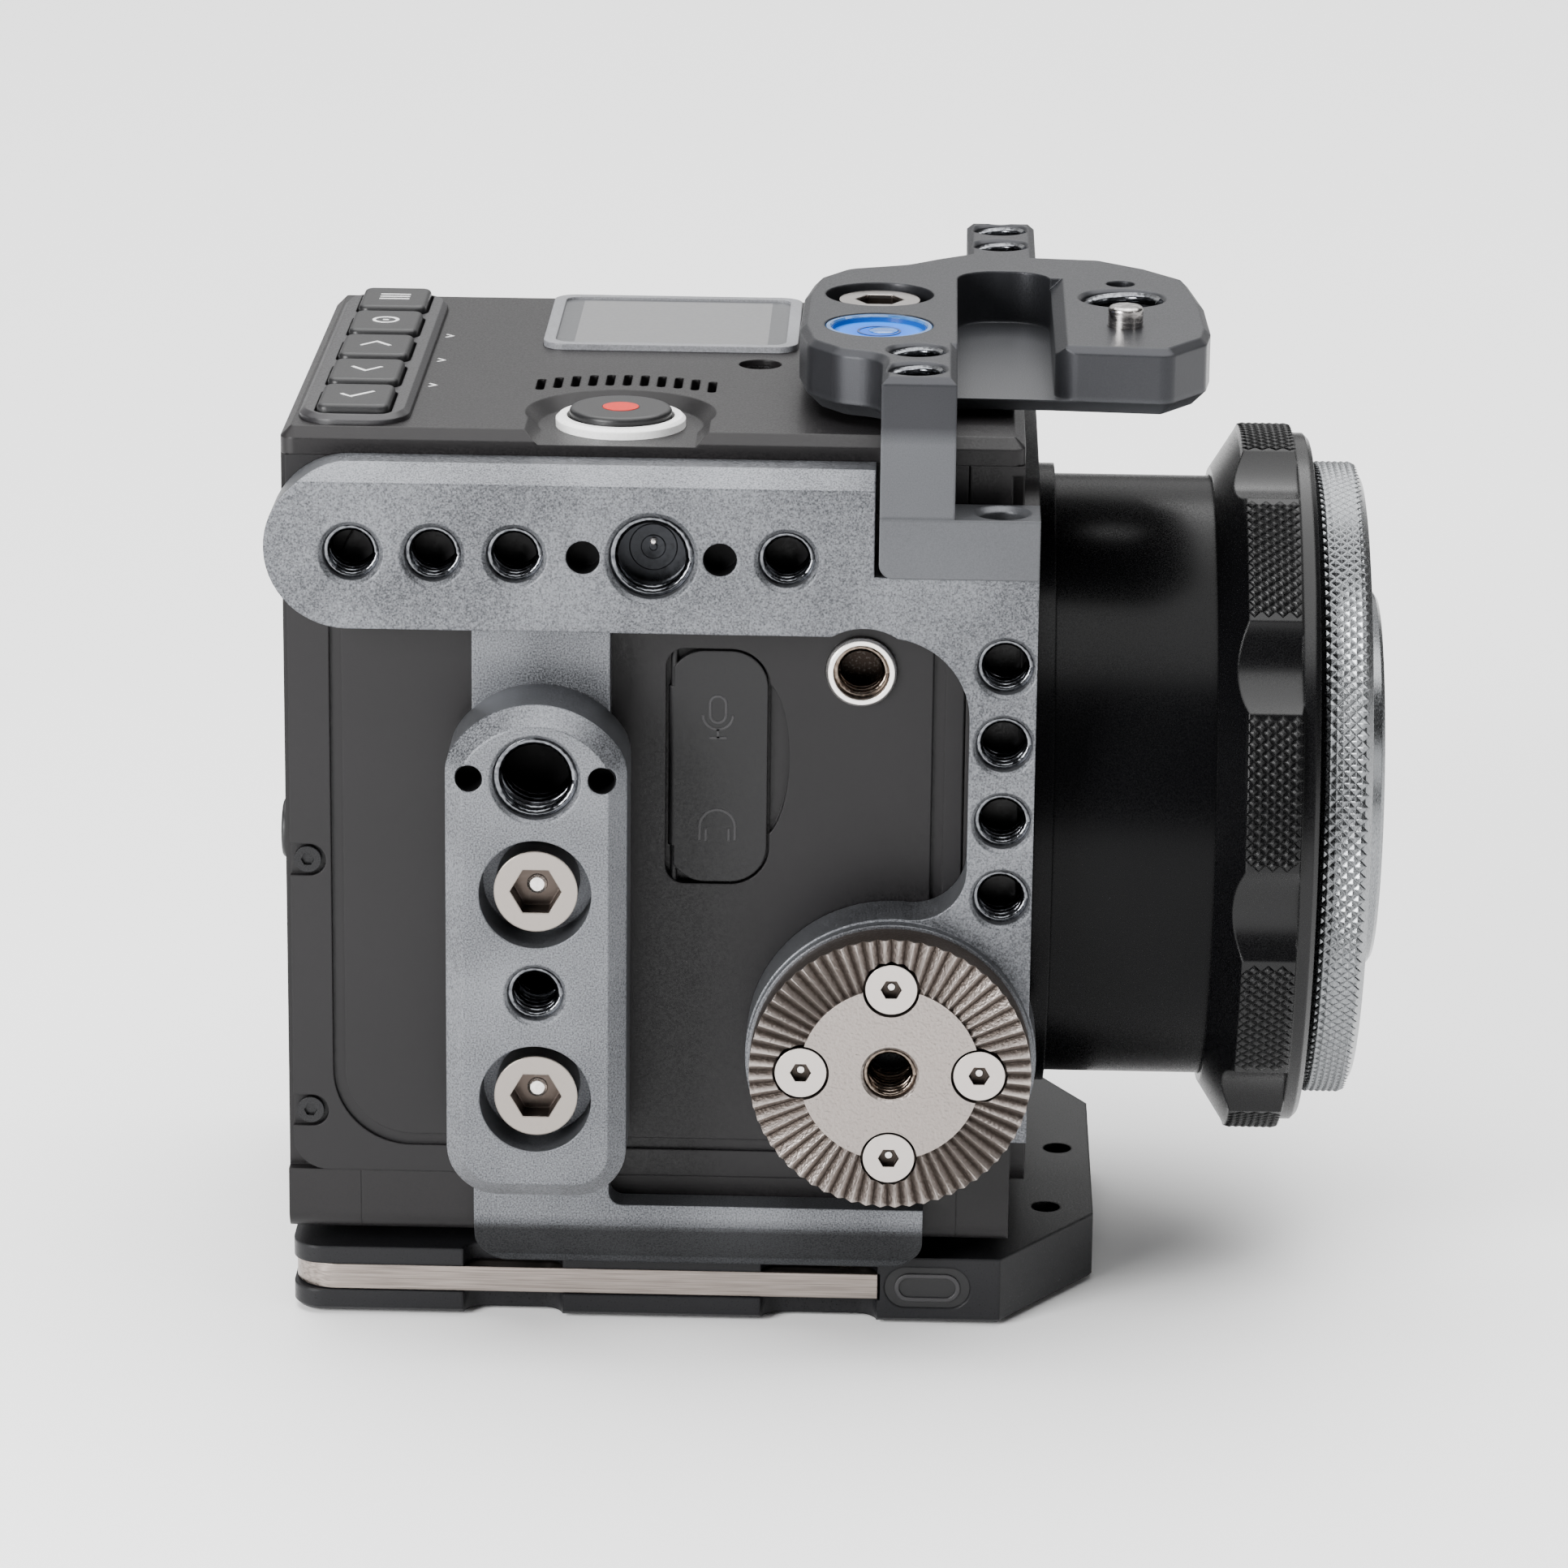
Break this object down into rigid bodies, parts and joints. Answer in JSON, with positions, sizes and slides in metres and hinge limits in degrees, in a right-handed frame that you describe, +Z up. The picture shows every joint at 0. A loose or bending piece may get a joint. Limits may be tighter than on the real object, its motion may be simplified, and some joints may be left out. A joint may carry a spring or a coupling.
{
  "type": "cinema camera rig",
  "caption": "Compact box cinema camera in a half cage with side accessory bar, rosette, top plate, base plate with a stowed key, and a capped lens mount adapter.",
  "frame": {"origin": "mouth of the tripod socket in the underside of the base plate", "axes": "+X towards the lens, +Y away from the side with the rosette and port door, +Z up"},
  "size_m": [0.1268, 0.0905, 0.1172],
  "materials": {
    "body_paint": "matte fine texture",
    "panel_paint": "matte",
    "black_plastic": "matte",
    "white_plastic": "satin",
    "red_plastic": "satin",
    "frame_plastic": "satin",
    "display_glass": "dark glass",
    "level_plastic": "clear blue",
    "circuit_board": "matte",
    "sensor_silicon": "polished",
    "filter_glass": "clear",
    "bare_aluminium": "bare",
    "steel": "polished",
    "rosette_steel": "cast, fine grain",
    "key_steel": "brushed",
    "black_anodised": "satin anodised",
    "ring_anodised": "satin anodised",
    "cap_aluminium": "bright knurled",
    "cage_anodised": "bead-blasted anodised",
    "plate_anodised": "satin anodised"
  },
  "bodies": {
    "camera": {"accessory_bar": "cage_anodised", "accessory_bar_screws": "steel", "adapter_tube": "black_anodised", "base_plate": "black_anodised", "base_screws": "steel", "battery_contact_block": "black_plastic", "bubble_level": "level_plastic", "button_bezel": "black_plastic", "button_board": "circuit_board", "cage_side_frame": "cage_anodised", "display_frame": "frame_plastic", "display_glass": "display_glass", "display_module": "black_plastic", "far_side_panel": "panel_paint", "front_plate": "body_paint", "headphone_jack": "black_plastic", "heat_sink": "bare_aluminium", "image_sensor": "sensor_silicon", "key_magnets": "steel", "key_retainer": "black_plastic", "locating_pin": "steel", "main_board": "circuit_board", "main_housing": "body_paint", "microphone_jack": "black_plastic", "mount_flange": "black_anodised", "mount_flange_screws": "steel", "near_side_panel": "panel_paint", "rear_cover": "body_paint", "record_ring": "white_plastic", "rosette": "rosette_steel", "rosette_screws": "rosette_steel", "sensor_board": "circuit_board", "sensor_filter_glass": "filter_glass", "side_panel_screws": "steel", "side_thread_insert": "steel", "top_cover": "body_paint", "top_plate": "plate_anodised", "top_plate_screw": "steel", "top_thread_insert": "steel", "tripod_insert": "steel"},
    "menu_button": {"menu_button": "black_plastic"},
    "function_button": {"function_button": "black_plastic"},
    "up_button": {"up_button": "black_plastic"},
    "down_button": {"down_button": "black_plastic"},
    "ok_button": {"ok_button": "black_plastic"},
    "record_button": {"record_button": "black_plastic", "record_dot": "red_plastic"},
    "battery_release": {"battery_release_button": "black_plastic"},
    "port_door": {"port_door": "black_plastic"},
    "lock_ring": {"lock_ring": "ring_anodised"},
    "body_cap": {"body_cap": "cap_aluminium"},
    "stowed_key": {"stowed_key": "key_steel"}
  },
  "joints": [
    {"name": "menu_button_press", "type": "slide", "parent": "camera", "child": "menu_button", "axis": [0, 0, -1], "range_m": [0, 0.0006], "stiffness_N_per_m": 600},
    {"name": "function_button_press", "type": "slide", "parent": "camera", "child": "function_button", "axis": [0, 0, -1], "range_m": [0, 0.0006], "stiffness_N_per_m": 600},
    {"name": "up_button_press", "type": "slide", "parent": "camera", "child": "up_button", "axis": [0, 0, -1], "range_m": [0, 0.0006], "stiffness_N_per_m": 600},
    {"name": "down_button_press", "type": "slide", "parent": "camera", "child": "down_button", "axis": [0, 0, -1], "range_m": [0, 0.0006], "stiffness_N_per_m": 600},
    {"name": "ok_button_press", "type": "slide", "parent": "camera", "child": "ok_button", "axis": [0, 0, -1], "range_m": [0, 0.0006], "stiffness_N_per_m": 600},
    {"name": "record_button_press", "type": "slide", "parent": "camera", "child": "record_button", "axis": [0, 0, -1], "range_m": [0, 0.0008], "stiffness_N_per_m": 500},
    {"name": "battery_release_press", "type": "slide", "parent": "camera", "child": "battery_release", "axis": [1, 0, 0], "range_m": [0, 0.0008], "stiffness_N_per_m": 600},
    {"name": "port_door_swing", "type": "hinge", "parent": "camera", "child": "port_door", "pos_m": [-0.00075, -0.03385, 0.0676], "axis": [0, 0, -1], "range_deg": [0, 95]},
    {"name": "lock_ring_turn", "type": "hinge", "parent": "camera", "child": "lock_ring", "pos_m": [0.066, 0, 0.0573], "axis": [1, 0, 0], "range_deg": [0, 60]},
    {"name": "body_cap_pull", "type": "slide", "parent": "camera", "child": "body_cap", "axis": [1, 0, 0], "range_m": [0, 0.02]},
    {"name": "key_pull", "type": "slide", "parent": "camera", "child": "stowed_key", "axis": [-0.7071, -0.7071, 0], "range_m": [0, 0.018]}
  ]
}
